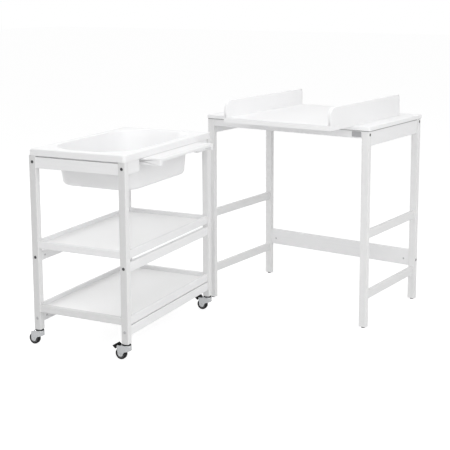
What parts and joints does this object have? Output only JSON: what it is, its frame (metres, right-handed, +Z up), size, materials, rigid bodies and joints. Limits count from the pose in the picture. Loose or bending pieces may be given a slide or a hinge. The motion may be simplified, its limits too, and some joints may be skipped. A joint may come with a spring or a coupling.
{
  "type": "baby bathing unit",
  "caption": "Free-standing changing table with a lift-off changing tray, and a bath trolley on castors with a tub, tray shelves and a folding side shelf that rolls under it",
  "frame": {"origin": "on the floor, under the middle of the bounding box of the whole unit", "axes": "+Z up, +Y from the front of the changing table to its back, +X to the right along the table's front; the trolley is turned 98.7 degrees about +Z"},
  "size_m": [1.2476, 1.5446, 1.02],
  "materials": {
    "white_timber": "white satin lacquer over solid beech, grain just showing",
    "white_board": "smooth white lacquered board",
    "tub_plastic": "white moulded plastic, soft gloss",
    "castor_steel": "bright zinc plated pressed steel",
    "wheel_black": "black tread on a grey hub",
    "pedal_black": "black moulded plastic",
    "bolt_steel": "dark steel socket heads",
    "nut_steel": "plain steel",
    "glide_grey": "grey moulded plastic",
    "badge": "bare satin plate, nothing on it"
  },
  "bodies": {
    "table_frame": {"table_front_apron": "white_timber", "table_back_apron": "white_timber", "table_back_stretcher": "white_timber", "table_leg_front_left": "white_timber", "table_leg_front_right": "white_timber", "table_leg_back_left": "white_timber", "table_leg_back_right": "white_timber", "table_left_apron": "white_timber", "table_left_upper_rail": "white_timber", "table_left_lower_rail": "white_timber", "table_right_apron": "white_timber", "table_right_upper_rail": "white_timber", "table_right_lower_rail": "white_timber", "table_top": "white_board", "blank_badge": "badge", "table_bolts": "bolt_steel", "table_barrel_nuts": "nut_steel", "table_glides": "glide_grey"},
    "changing_tray": {"changing_panel": "white_board", "left_guard": "white_board", "right_guard": "white_board", "guard_screws": "bolt_steel"},
    "trolley": {"trolley_front_apron": "white_timber", "trolley_front_mid_rail": "white_timber", "trolley_front_low_rail": "white_timber", "trolley_back_apron": "white_timber", "trolley_back_mid_rail": "white_timber", "trolley_back_low_rail": "white_timber", "trolley_post_front_left": "white_timber", "trolley_post_front_right": "white_timber", "trolley_post_back_left": "white_timber", "trolley_post_back_right": "white_timber", "trolley_left_end_rail": "white_timber", "trolley_right_end_rail": "white_timber", "upper_shelf_panel": "white_board", "upper_shelf_left_rail": "white_timber", "upper_shelf_right_rail": "white_timber", "upper_shelf_lips": "white_timber", "lower_shelf_panel": "white_board", "lower_shelf_left_rail": "white_timber", "lower_shelf_right_rail": "white_timber", "lower_shelf_lips": "white_timber", "trolley_bolts": "bolt_steel", "trolley_barrel_nuts": "nut_steel", "castor_stems": "castor_steel", "side_shelf_pins": "nut_steel"},
    "bath_tub": {"tub": "tub_plastic"},
    "side_shelf": {"side_shelf_battens": "white_timber", "side_shelf_front_bar": "white_timber", "side_shelf_panel": "white_board"},
    "fork_front_left": {"castor_fork_front_left": "castor_steel"},
    "wheel_front_left": {"castor_wheel_front_left": "wheel_black"},
    "fork_front_right": {"castor_fork_front_right": "castor_steel"},
    "wheel_front_right": {"castor_wheel_front_right": "wheel_black"},
    "fork_back_left": {"castor_fork_back_left": "castor_steel"},
    "wheel_back_left": {"castor_wheel_back_left": "wheel_black"},
    "fork_back_right": {"castor_fork_back_right": "castor_steel"},
    "wheel_back_right": {"castor_wheel_back_right": "wheel_black"},
    "pedal_front_left": {"brake_pedal_front_left": "pedal_black"},
    "pedal_front_right": {"brake_pedal_front_right": "pedal_black"}
  },
  "joints": [
    {"name": "tray_lift", "type": "slide", "parent": "table_frame", "child": "changing_tray", "axis": [0, 0, 1], "range_m": [0, 0.3]},
    {"name": "trolley_roll", "type": "slide", "parent": "table_frame", "child": "trolley", "axis": [-0.9885, -0.1513, 0], "range_m": [-0.3, 0.6]},
    {"name": "tub_lift", "type": "slide", "parent": "trolley", "child": "bath_tub", "axis": [0, 0, 1], "range_m": [0, 0.3]},
    {"name": "side_shelf_fold", "type": "hinge", "parent": "trolley", "child": "side_shelf", "pos_m": [-0.08197, -0.32151, 0.818], "axis": [-0.1513, 0.9885, 0], "range_deg": [0, 90]},
    {"name": "swivel_front_left", "type": "hinge", "parent": "trolley", "child": "fork_front_left", "pos_m": [-0.02623, -0.68577, 0.071], "axis": [0, 0, 1], "continuous": true},
    {"name": "spin_front_left", "type": "hinge", "parent": "fork_front_left", "child": "wheel_front_left", "pos_m": [-0.05193, -0.6897, 0.025], "axis": [-0.1513, 0.9885, 0], "continuous": true},
    {"name": "brake_front_left", "type": "hinge", "parent": "fork_front_left", "child": "pedal_front_left", "pos_m": [-0.06181, -0.69121, 0.055], "axis": [0.1513, -0.9885, 0], "range_deg": [0, 17]},
    {"name": "swivel_front_right", "type": "hinge", "parent": "trolley", "child": "fork_front_right", "pos_m": [-0.13771, 0.04275, 0.071], "axis": [0, 0, 1], "continuous": true},
    {"name": "spin_front_right", "type": "hinge", "parent": "fork_front_right", "child": "wheel_front_right", "pos_m": [-0.16341, 0.03882, 0.025], "axis": [-0.1513, 0.9885, 0], "continuous": true},
    {"name": "brake_front_right", "type": "hinge", "parent": "fork_front_right", "child": "pedal_front_right", "pos_m": [-0.17329, 0.03731, 0.055], "axis": [0.1513, -0.9885, 0], "range_deg": [0, 17]},
    {"name": "swivel_back_left", "type": "hinge", "parent": "trolley", "child": "fork_back_left", "pos_m": [-0.46116, -0.75232, 0.071], "axis": [0, 0, 1], "continuous": true},
    {"name": "spin_back_left", "type": "hinge", "parent": "fork_back_left", "child": "wheel_back_left", "pos_m": [-0.48686, -0.75625, 0.025], "axis": [-0.1513, 0.9885, 0], "continuous": true},
    {"name": "swivel_back_right", "type": "hinge", "parent": "trolley", "child": "fork_back_right", "pos_m": [-0.57264, -0.0238, 0.071], "axis": [0, 0, 1], "continuous": true},
    {"name": "spin_back_right", "type": "hinge", "parent": "fork_back_right", "child": "wheel_back_right", "pos_m": [-0.59834, -0.02773, 0.025], "axis": [-0.1513, 0.9885, 0], "continuous": true}
  ]
}
